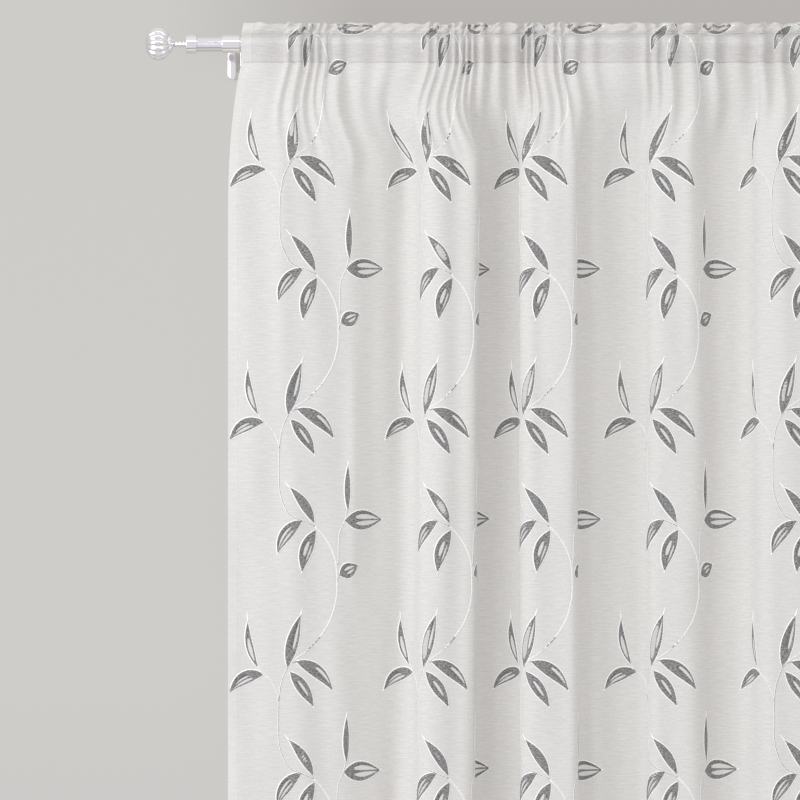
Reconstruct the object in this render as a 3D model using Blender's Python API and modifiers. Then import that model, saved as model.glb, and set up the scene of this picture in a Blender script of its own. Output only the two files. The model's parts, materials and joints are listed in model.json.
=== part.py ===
"""Sheer voile curtain with a slot heading, gathered on a metal pole with ribbed ball finials and two brackets.

The origin is on the wall, behind the left bracket and level with the pole's axis. +X runs along the pole to
the right, +Y goes into the wall and +Z is up. Lengths are in metres.
"""

import math
from collections import namedtuple

import bmesh
import bpy
import numpy as np

# Pole and brackets
POLE_DIAMETER = 0.028
POLE_WALL = 0.0012
BRACKET_SPAN = 1.120
STANDOFF = 0.100
FIT_GAP = 0.0003
TUBE_STEPS = 24

SLEEVE_LENGTH = 0.032
SLEEVE_DIAMETER = 0.0335
SLEEVE_RIM = 0.0008
ARM_DIAMETER = 0.014
ARM_FOOT_DIAMETER = 0.019
ARM_STEPS = 16
PLATE_WIDTH = 0.025
PLATE_HEIGHT = 0.080
PLATE_DEPTH = 0.006
PLATE_DROP = 0.017
PLATE_EDGE = 0.0022
PLATE_STEPS = 24

# Finials, from the tube's end outwards
CAP_START = 0.0615
CAP_LENGTH = 0.0195
CAP_DIAMETER = 0.0345
CAP_RIM = 0.0010
CAP_STEPS = 20
TUBE_INTO_CAP = 0.012
NECK_LENGTH = 0.0215
NECK_RADIUS = 0.0048
NECK_BEADS = 3
BEAD_HEIGHT = 0.0020
CROWN_LENGTH = 0.008
CROWN_RADIUS = 0.0170
CROWN_PETALS = 7
CROWN_SCALLOP = 0.12
CROWN_FOOT_RADIUS = 0.0065
BALL_DIAMETER = 0.060
BALL_LENGTH = 0.048
BALL_RINGS = 11
BALL_RIBS = 14
BALL_STEPS_PER_RIB = 3
BALL_RIB_DEPTH = 0.11
BALL_SINK = 0.0036
BALL_SHOW = 0.0006

# Cloth as it is cut and sewn. Heights are above the pole's axis.
CLOTH_WIDTH = 1.400
DROP = 1.830
FRILL_TOP = 0.038
FRILL_MIDDLE = 0.029
SLOT_TOP = 0.0182
SLOT_BOTTOM = -0.034
HEM_HEIGHT = 0.050
HEM_STEP = 0.003
CLOTH = 0.0012
SEAM = 0.0022
HEM = 0.0020
SIDE_HEM_COLUMNS = 2

# Cloth as it hangs
FRILL_INSET = 0.022
HEADING_INSET = 0.0185
HANGING_INSET = -0.004
INSET_REACH = 0.400
FLARE_POWER = 4
FOLD_REACH = 0.180
SETTLING_REACH = 0.260
FRILL_SPREAD = 0.95
FRILL_ROWS = 2
SLOT_EASE = 0.0005
SEAM_SHARE = 0.35
SEAM_FORWARD = 0.006
SLOT_CORNERS = 3
SLOT_CORNER_STEP = 36
HEM_SOFTENING = 0.12
COLUMNS_PER_GATHER = 4
FINE_STEPS = 16

# The gathers on the pole, left to right: millimetres of cloth in each, how far it turns in degrees, and how far
# below the slot it has faded away, in millimetres
Gather = namedtuple("Gather", "cloth turn fade")
GATHERS = [
    Gather(*row)
    for row in (
        (76, 14, 160), (24, 54, 180), (34, 70, 230), (24, 80, 190), (22, 66, 220), (23, 70, 160), (37, 32, 140),
        (48, 18, 180), (40, 24, 210), (52, 14, 160), (22, 64, 200), (22, 68, 230), (24, 54, 180), (22, 84, 210),
        (23, 84, 180), (20, 84, 200), (21, 86, 160), (40, 76, 220), (48, 70, 180), (48, 74, 230), (21, 84, 190),
        (22, 84, 210), (25, 30, 160), (22, 70, 220), (23, 76, 190), (41, 48, 210), (36, 28, 150), (70, 18, 160),
        (24, 46, 200), (24, 52, 230), (44, 64, 190), (56, 48, 220), (48, 68, 180), (60, 38, 210), (50, 66, 230),
        (44, 60, 190), (64, 34, 170), (56, 60, 210),
    )
]

# The broad folds: where each turn is on the cloth, half its width, how far the cloth turns towards the wall in
# degrees, and how far the turn has moved at the hem. Lengths are in millimetres.
Fold = namedtuple("Fold", "place half turn shift")
FOLDS = [
    Fold(*row)
    for row in (
        (55, 59, 2, 0),
        (160, 76, 15, 0),
        (249, 71, 30, 0),
        (305, 37, 27, 0),
        (371, 60, -77, -4),
        (445, 28, 22, 0),
        (522, 52, 112, -5),
        (655, 61, -103, 0),
        (801, 37, 97, 0),
        (869, 54, 27, 0),
        (962, 40, -77, -4),
        (1080, 49, 57, 6),
        (1200, 66, -79, -6),
        (1330, 50, 6, 0),
    )
]

# Heights of the hanging cloth's levels, with one point to each column and then to every other one
GATHERED_LEVELS = (-0.056, -0.095, -0.150)
HANGING_LEVELS = (-0.220, -0.310, -0.460, -0.700, -1.000, -1.350)
COARSE_COLUMNS = 2


def new_material(name, colour, roughness, metallic=0.0, alpha=1.0):
    """A Principled material from its plain values."""
    material = bpy.data.materials.new(name)
    material.use_nodes = True
    shader = material.node_tree.nodes["Principled BSDF"]
    shader.inputs["Base Color"].default_value = (*colour, 1.0)
    shader.inputs["Roughness"].default_value = roughness
    shader.inputs["Metallic"].default_value = metallic
    shader.inputs["Alpha"].default_value = alpha
    return material


def new_object(name, mesh, material, collection, parent=None, place=(0.0, 0.0, 0.0), turn=(0.0, 0.0, 0.0)):
    """An object placed and turned from its parent, with a mesh that copies may share."""
    piece = bpy.data.objects.new(name, mesh)
    if not mesh.materials:
        mesh.materials.append(material)
    piece.parent = parent
    piece.location = place
    piece.rotation_euler = turn
    collection.objects.link(piece)
    return piece


def evaluated_mesh(piece, sharp_angle):
    """The mesh that an object's modifiers give, shaded smooth up to sharp_angle degrees."""
    holder = bpy.context.scene.collection
    holder.objects.link(piece)
    bpy.context.view_layer.update()
    whole = piece.evaluated_get(bpy.context.evaluated_depsgraph_get())
    mesh = bpy.data.meshes.new_from_object(whole)
    bpy.data.objects.remove(piece)
    mesh.shade_smooth()
    mesh.set_sharp_from_angle(angle=math.radians(sharp_angle))
    return mesh


def turned(name, profile, steps, closed=False, sharp_angle=35):
    """A mesh turned about Z from (height, radius) points that run down its outer side."""
    outline = bpy.data.meshes.new(name)
    edges = [(point, point + 1) for point in range(len(profile) - 1)]
    if closed:
        edges.append((len(profile) - 1, 0))
    outline.from_pydata([(radius, 0.0, height) for height, radius in profile], edges, [])
    piece = bpy.data.objects.new(name, outline)
    screw = piece.modifiers.new("turn", "SCREW")
    screw.steps = steps
    screw.render_steps = steps
    screw.use_merge_vertices = True
    screw.merge_threshold = 0.00001
    return evaluated_mesh(piece, sharp_angle)


def pole_mesh():
    """The pole, a round steel tube whose ends go into the finials' caps."""
    half = BRACKET_SPAN / 2 + CAP_START + TUBE_INTO_CAP
    outer = POLE_DIAMETER / 2
    inner = outer - POLE_WALL
    profile = [(half, inner), (half, outer), (-half, outer), (-half, inner)]
    return turned("pole", profile, TUBE_STEPS, closed=True)


def sleeve_mesh():
    """The bracket's sleeve round the pole."""
    half = SLEEVE_LENGTH / 2
    bore = POLE_DIAMETER / 2 + FIT_GAP
    outer = SLEEVE_DIAMETER / 2
    shoulder = outer - SLEEVE_RIM
    side = half - SLEEVE_RIM
    profile = [(half, bore), (half, shoulder), (side, outer), (-side, outer), (-half, shoulder), (-half, bore)]
    return turned("sleeve", profile, TUBE_STEPS, closed=True)


def arm_mesh():
    """The bracket's tapered arm, from inside the wall plate to inside the sleeve's wall."""
    start = PLATE_DEPTH / 2
    end = STANDOFF - (SLEEVE_DIAMETER + POLE_DIAMETER) / 4
    bm = bmesh.new()
    bmesh.ops.create_cone(bm, cap_ends=True, segments=ARM_STEPS, radius1=ARM_DIAMETER / 2,
                          radius2=ARM_FOOT_DIAMETER / 2, depth=end - start)
    for vert in bm.verts:
        vert.co = (vert.co.x, vert.co.z - (start + end) / 2, vert.co.y)
    bmesh.ops.recalc_face_normals(bm, faces=bm.faces)
    mesh = bpy.data.meshes.new("arm")
    bm.to_mesh(mesh)
    bm.free()
    return mesh


def plate_mesh():
    """The wall plate, a round disc stretched upright, with its front edge rounded."""
    bm = bmesh.new()
    bmesh.ops.create_cone(bm, cap_ends=True, segments=PLATE_STEPS, radius1=PLATE_WIDTH / 2,
                          radius2=PLATE_WIDTH / 2, depth=PLATE_DEPTH)
    stretch = (PLATE_HEIGHT - PLATE_WIDTH) / 2
    for vert in bm.verts:
        upright = vert.co.y + math.copysign(stretch, vert.co.y) - PLATE_DROP
        vert.co = (vert.co.x, vert.co.z - PLATE_DEPTH / 2, upright)
    bmesh.ops.recalc_face_normals(bm, faces=bm.faces)
    front = [edge for edge in bm.edges if all(vert.co.y < -PLATE_DEPTH / 2 for vert in edge.verts)]
    bmesh.ops.bevel(bm, geom=front, offset=PLATE_EDGE, offset_type="OFFSET", affect="EDGES", segments=2,
                    profile=0.5, material=-1)
    mesh = bpy.data.meshes.new("plate")
    bm.to_mesh(mesh)
    bm.free()
    return mesh


def bracket_mesh():
    """The wall plate, the arm and the sleeve, as one casting."""
    guides = bpy.data.collections.new("bracket guides")
    bpy.context.scene.collection.children.link(guides)
    arm = bpy.data.objects.new("arm", arm_mesh())
    sleeve = bpy.data.objects.new("sleeve", sleeve_mesh())
    sleeve.location = (0.0, -STANDOFF, 0.0)
    sleeve.rotation_euler = (0.0, math.pi / 2, 0.0)
    plate = bpy.data.objects.new("bracket", plate_mesh())
    for guide in (arm, sleeve):
        guides.objects.link(guide)
        union = plate.modifiers.new("join the " + guide.name, "BOOLEAN")
        union.operation = "UNION"
        union.object = guide
    mesh = evaluated_mesh(plate, 40)
    for guide in (arm, sleeve):
        bpy.data.objects.remove(guide)
    bpy.data.collections.remove(guides)
    return mesh


def cap_mesh():
    """The finial's cap, which slips over the tube's end, and its neck of beads. Z = 0 is the cap's open end."""
    outer = CAP_DIAMETER / 2
    bore = POLE_DIAMETER / 2 + FIT_GAP
    floor = TUBE_INTO_CAP + FIT_GAP
    end = CAP_LENGTH + NECK_LENGTH
    bead = NECK_LENGTH / NECK_BEADS
    profile = [(end, 0.0), (end, NECK_RADIUS)]
    for number in range(NECK_BEADS):
        for share, lift in ((0.15, 0.0), (0.35, BEAD_HEIGHT), (0.65, BEAD_HEIGHT), (0.85, 0.0)):
            profile.append((end - (number + share) * bead, NECK_RADIUS + lift))
    profile += [
        (CAP_LENGTH, NECK_RADIUS),
        (CAP_LENGTH, outer - CAP_RIM),
        (CAP_LENGTH - CAP_RIM, outer),
        (CAP_RIM, outer),
        (0.0, outer - CAP_RIM),
        (0.0, bore),
        (floor, bore),
        (floor, 0.0),
    ]
    return turned("finial cap", profile, CAP_STEPS)


def ball_mesh():
    """The ribbed ball on its crown of petals. Z = 0 is the crown's flat foot."""
    half = BALL_LENGTH / 2
    centre = CROWN_LENGTH + half - BALL_SINK
    last = math.acos((CROWN_LENGTH + BALL_SHOW - centre) / half)
    profile = []
    for ring in range(BALL_RINGS):
        angle = last * ring / (BALL_RINGS - 1)
        profile.append((centre + half * math.cos(angle), BALL_DIAMETER / 2 * math.sin(angle)))
    profile += [
        (CROWN_LENGTH, CROWN_RADIUS),
        (CROWN_LENGTH / 4, CROWN_RADIUS * 3 / 4),
        (0.0, CROWN_FOOT_RADIUS),
        (0.0, 0.0),
    ]
    mesh = turned("finial ball", profile, BALL_RIBS * BALL_STEPS_PER_RIB, sharp_angle=60)
    for vert in mesh.vertices:
        around = math.atan2(vert.co.y, vert.co.x)
        groove = 0.5 - 0.5 * math.cos(around * BALL_RIBS)
        petal = 0.5 - 0.5 * math.cos(around * CROWN_PETALS)
        on_ball = vert.co.z > CROWN_LENGTH + BALL_SHOW / 2
        shrink = BALL_RIB_DEPTH * groove if on_ball else CROWN_SCALLOP * petal
        vert.co.x *= 1 - shrink
        vert.co.y *= 1 - shrink
    return mesh


def smooth(share):
    """An even ease from 0 to 1."""
    share = np.clip(share, 0.0, 1.0)
    return share * share * (3 - 2 * share)


def gather_angles():
    """Finely stepped places along the cloth, how far it turns there on the pole, and how far down that fades."""
    places, angles, fades, start = [0.0], [0.0], [GATHERS[0].fade / 1000], 0.0
    steps = COLUMNS_PER_GATHER * FINE_STEPS
    for gather in GATHERS:
        width = gather.cloth / 1000
        for step in range(1, steps + 1):
            share = step / steps
            places.append(start + share * width)
            angles.append(-math.radians(gather.turn) * math.sin(math.tau * share))
            fades.append(gather.fade / 1000)
        start += width
    return np.array(places) * CLOTH_WIDTH / start, np.array(angles), np.array(fades)


def fold_angles(places, down):
    """How far the cloth turns in its broad folds, down metres below the slot."""
    share = down / (DROP - FRILL_TOP)
    angles = np.zeros_like(places)
    for fold in FOLDS:
        centre = (fold.place + fold.shift * share) / 1000
        off = np.clip((places - centre) / (fold.half / 1000), -1.0, 1.0)
        angles += math.radians(fold.turn) * (0.5 + 0.5 * np.cos(math.pi * off))
    return angles * (1.0 - HEM_SOFTENING * share)


def walked(places, angles, edge):
    """x and y of the plan line that turns by these angles, drawn out to stand in by edge at both sides."""
    step = np.diff(places)
    middle = (angles[1:] + angles[:-1]) / 2
    along = np.concatenate([[0.0], np.cumsum(np.cos(middle) * step)])
    depth = np.concatenate([[0.0], np.cumsum(np.sin(middle) * step)])
    width = BRACKET_SPAN - 2 * edge
    return edge + along * width / along[-1], depth - depth[-1] * places / places[-1]


def running_mean(depth):
    """The mean depth around each place, over about three gathers."""
    window = 3 * COLUMNS_PER_GATHER * FINE_STEPS
    padded = np.pad(depth, window // 2, mode="edge")
    return np.convolve(padded, np.ones(window + 1) / (window + 1), mode="valid")


def slot_corners():
    """(height, depth) of the slot's front layer between its seams, where it leans on the pole."""
    seat = POLE_DIAMETER / 2 + FIT_GAP + SLOT_EASE + CLOTH / 2
    lean = math.acos(seat / SLOT_TOP)
    half_step = math.radians(SLOT_CORNER_STEP / 2)
    reach = seat / math.cos(half_step)
    angles = [lean + half_step * (2 * corner + 1) for corner in range(SLOT_CORNERS)]
    return [(reach * math.cos(angle), reach * math.sin(angle)) for angle in angles]


def level_points(x, y, height):
    """Rows of x and y as points at one height."""
    return np.stack([x, y, np.full_like(x, height)], axis=1)


def hanging_points(level, places, gathers, fades, mean):
    """The cloth at a level below the slot, where the small gathers run together into the broad folds."""
    down = SLOT_BOTTOM - level
    settled = smooth(down / SETTLING_REACH)
    flare = 1 - max(0.0, 1 - down / INSET_REACH) ** FLARE_POWER
    edge = HEADING_INSET + (HANGING_INSET - HEADING_INSET) * flare
    angles = gathers * (1 - smooth(down / fades)) + fold_angles(places, down) * smooth(down / FOLD_REACH)
    x, y = walked(places, angles, edge)
    centre = (y.max() + y.min()) / 2
    return level_points(x, y - centre * settled - (mean + SEAM_FORWARD) * (1 - settled), level)


def sheet_points():
    """Rows of points of the cloth's middle: the front layer from frill to hem, and the slot's back layer."""
    places, gathers, fades = gather_angles()
    x, ripple = walked(places, gathers, HEADING_INSET)
    mean = running_mean(ripple)
    front, back = [], []
    for level in (FRILL_TOP, FRILL_MIDDLE):
        share = (level - SLOT_TOP) / (FRILL_TOP - SLOT_TOP)
        x_frill, _ = walked(places, gathers, HEADING_INSET + (FRILL_INSET - HEADING_INSET) * share)
        front.append(level_points(x_frill, (ripple - mean) * (SEAM_SHARE + FRILL_SPREAD * share), level))
    upper_seam = level_points(x, (ripple - mean) * SEAM_SHARE, SLOT_TOP)
    lower_seam = level_points(x, ripple - mean - SEAM_FORWARD, SLOT_BOTTOM)
    front.append(upper_seam)
    back.append(upper_seam)
    for level, depth in slot_corners():
        front.append(level_points(x, ripple - depth, level))
        back.append(level_points(x, depth - ripple, level))
    front.append(lower_seam)
    back.append(lower_seam)
    hem_top = FRILL_TOP - DROP + HEM_HEIGHT
    for level in (*GATHERED_LEVELS, *HANGING_LEVELS, hem_top + HEM_STEP, hem_top, FRILL_TOP - DROP):
        front.append(hanging_points(level, places, gathers, fades, mean))
    columns = slice(0, None, FINE_STEPS)
    return np.array(front)[:, columns], np.array(back)[:, columns]


def thickness_shares(front):
    """How thick each point of the front layer is, as a share of the seam's thickness."""
    rows, columns = front.shape[:2]
    thick = np.full((rows, columns), CLOTH)
    thick[:, :SIDE_HEM_COLUMNS] = HEM
    thick[:, columns - SIDE_HEM_COLUMNS :] = HEM
    thick[FRILL_ROWS + SLOT_CORNERS + 1] = SEAM
    thick[: FRILL_ROWS + 1] = SEAM
    thick[rows - 2 :] = HEM
    return thick / SEAM


def cloth_sheet():
    """The cloth as a sheet that parts into two layers at the seams, with its thickness as vertex weights."""
    front, back = sheet_points()
    rows, columns = front.shape[:2]
    top = FRILL_ROWS
    bottom = top + len(back) - 1
    coarse_from = bottom + len(GATHERED_LEVELS)
    bm = bmesh.new()
    layer = [[bm.verts.new(point) for point in row] for row in front]
    shares = thickness_shares(front)
    weights = [share for row in shares for share in row]
    back_layer = [layer[top]]
    for number, row in enumerate(back[1:-1], start=1):
        back_layer.append([bm.verts.new(point) for point in row])
        weights += list(shares[top + number])
    back_layer.append(layer[bottom])

    def fill(upper, lower, step, lower_step):
        """Faces between two levels. Where the lower one is coarser, a face also takes the points between."""
        for column in range(0, columns - 1, lower_step):
            above = upper[column : column + lower_step + 1 : step]
            bm.faces.new([*above, lower[column + lower_step], lower[column]])

    for row in range(rows - 1):
        step = COARSE_COLUMNS if row > coarse_from else 1
        lower_step = COARSE_COLUMNS if row + 1 > coarse_from else 1
        fill(layer[row], layer[row + 1], step, lower_step)
    for upper, lower in zip(back_layer, back_layer[1:]):
        fill(upper, lower, 1, 1)

    bm.verts.index_update()
    mesh = bpy.data.meshes.new("cloth")
    bm.to_mesh(mesh)
    bm.free()
    piece = bpy.data.objects.new("cloth", mesh)
    group = piece.vertex_groups.new(name="thickness")
    for index, weight in enumerate(weights):
        group.add([index], weight, "REPLACE")
    return piece


def solid_cloth(piece):
    """The sheet with its thickness, split into triangles."""
    solidify = piece.modifiers.new("thickness", "SOLIDIFY")
    solidify.solidify_mode = "NON_MANIFOLD"
    solidify.nonmanifold_thickness_mode = "FIXED"
    solidify.nonmanifold_boundary_mode = "NONE"
    solidify.nonmanifold_merge_threshold = 0.00001
    solidify.thickness = SEAM
    solidify.offset = 0.0
    solidify.vertex_group = "thickness"
    piece.modifiers.new("triangles", "TRIANGULATE")
    return evaluated_mesh(piece, 60)


def main():
    for old in list(bpy.data.objects):
        bpy.data.objects.remove(old)
    collection = bpy.data.collections.new("voile curtain on a pole")
    bpy.context.scene.collection.children.link(collection)

    chrome = new_material("polished metal", (0.80, 0.80, 0.82), 0.16, metallic=1.0)
    satin = new_material("satin metal", (0.74, 0.73, 0.76), 0.28, metallic=1.0)
    voile = new_material("voile", (0.82, 0.81, 0.79), 0.9, alpha=0.8)

    axis = bpy.data.objects.new("pole axis", None)
    axis.location = (0.0, -STANDOFF, 0.0)
    collection.objects.link(axis)

    middle = (BRACKET_SPAN / 2, 0.0, 0.0)
    new_object("pole", pole_mesh(), satin, collection, axis, middle, (0.0, math.pi / 2, 0.0))
    new_object("curtain", solid_cloth(cloth_sheet()), voile, collection, axis)

    bracket = bracket_mesh()
    cap = cap_mesh()
    ball = ball_mesh()
    crown_start = CAP_START + CAP_LENGTH + NECK_LENGTH + FIT_GAP
    for side, x, out in (("left", 0.0, -1), ("right", BRACKET_SPAN, 1)):
        turn = (0.0, out * math.pi / 2, 0.0)
        new_object("bracket_" + side, bracket, chrome, collection, None, (x, 0.0, 0.0))
        new_object("finial_cap_" + side, cap, chrome, collection, axis, (x + out * CAP_START, 0, 0), turn)
        new_object("finial_ball_" + side, ball, chrome, collection, axis, (x + out * crown_start, 0, 0), turn)


main()
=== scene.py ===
# %% [markdown]
# A sheer voile curtain with a woven leaf vine, gathered on a metal pole. The solids of the pole, the
# brackets, the finials and the draped cloth are loaded first. They are a fixed frame: each finer piece
# below takes the place of one of them and keeps its size.

import json
import math
from collections import namedtuple

import bmesh
import bpy
import numpy as np
from mathutils import Matrix, Vector


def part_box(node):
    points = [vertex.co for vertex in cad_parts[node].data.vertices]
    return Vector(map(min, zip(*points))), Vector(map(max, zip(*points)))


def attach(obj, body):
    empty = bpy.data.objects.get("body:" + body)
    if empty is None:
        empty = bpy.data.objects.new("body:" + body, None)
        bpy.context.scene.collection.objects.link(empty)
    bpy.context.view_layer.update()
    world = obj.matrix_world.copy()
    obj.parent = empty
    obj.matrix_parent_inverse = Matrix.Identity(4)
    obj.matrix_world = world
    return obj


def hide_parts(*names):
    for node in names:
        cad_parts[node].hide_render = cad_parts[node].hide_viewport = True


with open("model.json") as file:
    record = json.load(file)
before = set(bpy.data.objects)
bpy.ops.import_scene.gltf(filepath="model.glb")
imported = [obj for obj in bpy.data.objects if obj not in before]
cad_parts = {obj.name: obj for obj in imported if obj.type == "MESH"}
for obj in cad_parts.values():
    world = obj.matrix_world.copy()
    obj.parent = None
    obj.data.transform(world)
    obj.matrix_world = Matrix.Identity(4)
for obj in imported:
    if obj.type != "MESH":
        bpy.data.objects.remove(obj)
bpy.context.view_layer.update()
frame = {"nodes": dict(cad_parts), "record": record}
MM = 0.001
print("nodes:", sorted(frame["nodes"]))

# %% [markdown]
# The pole's axis and the brackets' places are read from the frame, so that every piece is built around
# them.

# %% Sizes taken from the frame
pole_low, pole_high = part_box("pole")
AXIS_Y = (pole_low.y + pole_high.y) / 2
POLE_RADIUS = (pole_high.z - pole_low.z) / 2
LEFT_X, RIGHT_X = sorted(mount["pos_m"][0] for mount in frame["record"]["mounts"])
MIDDLE_X = (LEFT_X + RIGHT_X) / 2
print(f"pole radius {POLE_RADIUS:.4f} m, brackets {RIGHT_X - LEFT_X:.3f} m apart")

# %% [markdown]
# Colours are written as the sRGB hex values that a colour picker shows, and shaders work in linear light,
# so one function turns one into the other. Another adds a node with its settings and links, which keeps
# each material short enough to read.

# %% Colour and node helpers
def linear(hex_colour):
    """An sRGB hex colour as linear RGBA."""
    channels = [int(hex_colour[i : i + 2], 16) / 255 for i in (1, 3, 5)]
    return (*(c / 12.92 if c <= 0.04045 else ((c + 0.055) / 1.055) ** 2.4 for c in channels), 1.0)


def add_node(tree, kind, links=(), sockets=(), **settings):
    """A node of this kind: settings by name, (socket, value) pairs, and (socket, source) links."""
    node = tree.nodes.new(kind)
    for name, value in settings.items():
        setattr(node, name, value)
    for name, value in sockets:
        node.inputs[name].default_value = value
    for name, source in links:
        tree.links.new(source, node.inputs[name])
    return node


def new_material(name, **values):
    """A material and its Principled shader, with plain values set by socket name."""
    material = bpy.data.materials.new(name)
    material.use_nodes = True
    shader = material.node_tree.nodes["Principled BSDF"]
    for socket, value in values.items():
        shader.inputs[socket.replace("_", " ").title()].default_value = value
    return material, material.node_tree, shader


def add_piece(name, bm, *materials, sharp_angle=None):
    """The bmesh as an object at the origin, shaded smooth up to sharp_angle degrees."""
    mesh = bpy.data.meshes.new(name)
    bm.to_mesh(mesh)
    bm.free()
    for material in materials:
        mesh.materials.append(material)
    mesh.shade_smooth()
    if sharp_angle is not None:
        mesh.set_sharp_from_angle(angle=math.radians(sharp_angle))
    piece = bpy.data.objects.new(name, mesh)
    bpy.context.scene.collection.objects.link(piece)
    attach(piece, "root")
    print(f"{name}: {len(mesh.polygons)} faces")
    return piece

# %% [markdown]
# On a real slot heading the pole goes through a channel sewn between two rows of stitches, and pushing
# the cloth together on it makes small uneven gathers. Simulating the cloth would also give folds, but not
# these ones. So the folds here come from the same tables as the solid's: each gather turns the cloth one
# way and back, and below the heading the gathers run together into a few broad folds, placed so that the
# leaf columns hang where the photo has them.

# %% The gathers and folds, as on the solid
# The gathers on the pole, left to right: millimetres of cloth in each, how far it turns in degrees, and
# how far below the slot it has faded away, in millimetres
Gather = namedtuple("Gather", "cloth turn fade")
GATHERS = [
    Gather(*row)
    for row in (
        (76, 14, 160), (24, 54, 180), (34, 70, 230), (24, 80, 190), (22, 66, 220), (23, 70, 160),
        (37, 32, 140), (48, 18, 180), (40, 24, 210), (52, 14, 160), (22, 64, 200), (22, 68, 230),
        (24, 54, 180), (22, 84, 210), (23, 84, 180), (20, 84, 200), (21, 86, 160), (40, 76, 220),
        (48, 70, 180), (48, 74, 230), (21, 84, 190), (22, 84, 210), (25, 30, 160), (22, 70, 220),
        (23, 76, 190), (41, 48, 210), (36, 28, 150), (70, 18, 160), (24, 46, 200), (24, 52, 230),
        (44, 64, 190), (56, 48, 220), (48, 68, 180), (60, 38, 210), (50, 66, 230), (44, 60, 190),
        (64, 34, 170), (56, 60, 210),
    )
]

# The broad folds: where each turn is on the cloth, half its width, how far the cloth turns towards the
# wall in degrees, and how far the turn has moved at the hem. Lengths are in millimetres.
Fold = namedtuple("Fold", "place half turn shift")
FOLDS = [
    Fold(*row)
    for row in (
        (55, 59, 2, 0),
        (160, 76, 15, 0),
        (249, 71, 30, 0),
        (305, 37, 27, 0),
        (371, 60, -77, -4),
        (445, 28, 22, 0),
        (522, 52, 112, -5),
        (655, 61, -103, 0),
        (801, 37, 97, 0),
        (869, 54, 27, 0),
        (962, 40, -77, -4),
        (1080, 49, 57, 6),
        (1200, 66, -79, -6),
        (1330, 50, 6, 0),
    )
]
CLOTH_WIDTH = 1.400
DROP = 1.830
FRILL_TOP = 0.038
FRILL_MIDDLE = 0.029
SLOT_TOP = 0.0182
SLOT_BOTTOM = -0.034
FRILL_INSET = 0.022
HEADING_INSET = 0.0185
HANGING_INSET = -0.004
INSET_REACH = 0.400
FLARE_POWER = 4
FOLD_REACH = 0.180
SETTLING_REACH = 0.260
FRILL_SPREAD = 0.95
SEAM_SHARE = 0.35
SEAM_FORWARD = 0.006
SLOT_EASE = 0.0014
SLOT_CORNERS = 3
SLOT_CORNER_STEP = 36
HEM_SOFTENING = 0.12
FINE_STEPS = 50
KEEP_EVERY = 5
print(len(GATHERS), "gathers and", len(FOLDS), "folds")

# %% [markdown]
# A level of the cloth is a line seen from above. Walking along it and turning by the fold's angle at each
# step keeps the cloth's own width, as real cloth can't stretch, and gives the overlaps where a fold turns
# right round.

# %% Walk along the cloth
def smooth(share):
    """An even ease from 0 to 1."""
    share = np.clip(share, 0.0, 1.0)
    return share * share * (3 - 2 * share)


def gather_angles():
    """Finely stepped places along the cloth, its turn at each on the pole, and how far down that fades."""
    places, angles, fades, start = [0.0], [0.0], [GATHERS[0].fade * MM], 0.0
    for gather in GATHERS:
        width = gather.cloth * MM
        for step in range(1, FINE_STEPS + 1):
            share = step / FINE_STEPS
            places.append(start + share * width)
            angles.append(-math.radians(gather.turn) * math.sin(math.tau * share))
            fades.append(gather.fade * MM)
        start += width
    return np.array(places) * CLOTH_WIDTH / start, np.array(angles), np.array(fades)


def fold_angles(places, down):
    """How far the cloth turns in its broad folds, down metres below the slot."""
    share = down / (DROP - FRILL_TOP)
    angles = np.zeros_like(places)
    for fold in FOLDS:
        centre = (fold.place + fold.shift * share) * MM
        off = np.clip((places - centre) / (fold.half * MM), -1.0, 1.0)
        angles += math.radians(fold.turn) * (0.5 + 0.5 * np.cos(math.pi * off))
    return angles * (1.0 - HEM_SOFTENING * share)


def walked(places, angles, edge):
    """x and y of the plan line that turns by these angles, drawn out to stand in by edge at both sides."""
    step = np.diff(places)
    middle = (angles[1:] + angles[:-1]) / 2
    along = np.concatenate([[0.0], np.cumsum(np.cos(middle) * step)])
    depth = np.concatenate([[0.0], np.cumsum(np.sin(middle) * step)])
    width = RIGHT_X - LEFT_X - 2 * edge
    return LEFT_X + edge + along * width / along[-1], depth - depth[-1] * places / places[-1]


def running_mean(depth):
    """The mean depth around each place, over about three gathers."""
    window = 3 * FINE_STEPS
    padded = np.pad(depth, window // 2, mode="edge")
    return np.convolve(padded, np.ones(window + 1) / (window + 1), mode="valid")


def level_points(x, y, height):
    """Rows of x and y from the pole's axis as points at one height."""
    return np.stack([x, y + AXIS_Y, np.full_like(x, height)], axis=1)


PLACES, GATHERED, FADES = gather_angles()
HEADING_X, RIPPLE = walked(PLACES, GATHERED, HEADING_INSET)
MEAN = running_mean(RIPPLE)


def hanging_points(level):
    """The cloth at a level below the slot, where the small gathers run together into the broad folds."""
    down = SLOT_BOTTOM - level
    settled = smooth(down / SETTLING_REACH)
    flare = 1 - max(0.0, 1 - down / INSET_REACH) ** FLARE_POWER
    edge = HEADING_INSET + (HANGING_INSET - HEADING_INSET) * flare
    angles = GATHERED * (1 - smooth(down / FADES)) + fold_angles(PLACES, down) * smooth(down / FOLD_REACH)
    x, y = walked(PLACES, angles, edge)
    centre = (y.max() + y.min()) / 2
    return level_points(x, y - centre * settled - (MEAN + SEAM_FORWARD) * (1 - settled), level)


print(f"{CLOTH_WIDTH:.3f} m of cloth is gathered on {HEADING_X[-1] - HEADING_X[0]:.3f} m of pole")

# %% [markdown]
# The cloth's top edge is turned over to the back and sewn down twice: the upper seam leaves a standing
# frill, and the pole goes between the two seams. So one strip of cloth is followed all the way, from the
# lower seam up the back, over the frill and down the front to the hem. Each row of the strip has its
# distance v down the cloth from the top fold, which is negative on the back, and each column its distance
# u from the left edge. These two flat lengths place everything that is woven or sewn on the cloth later.

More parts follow.
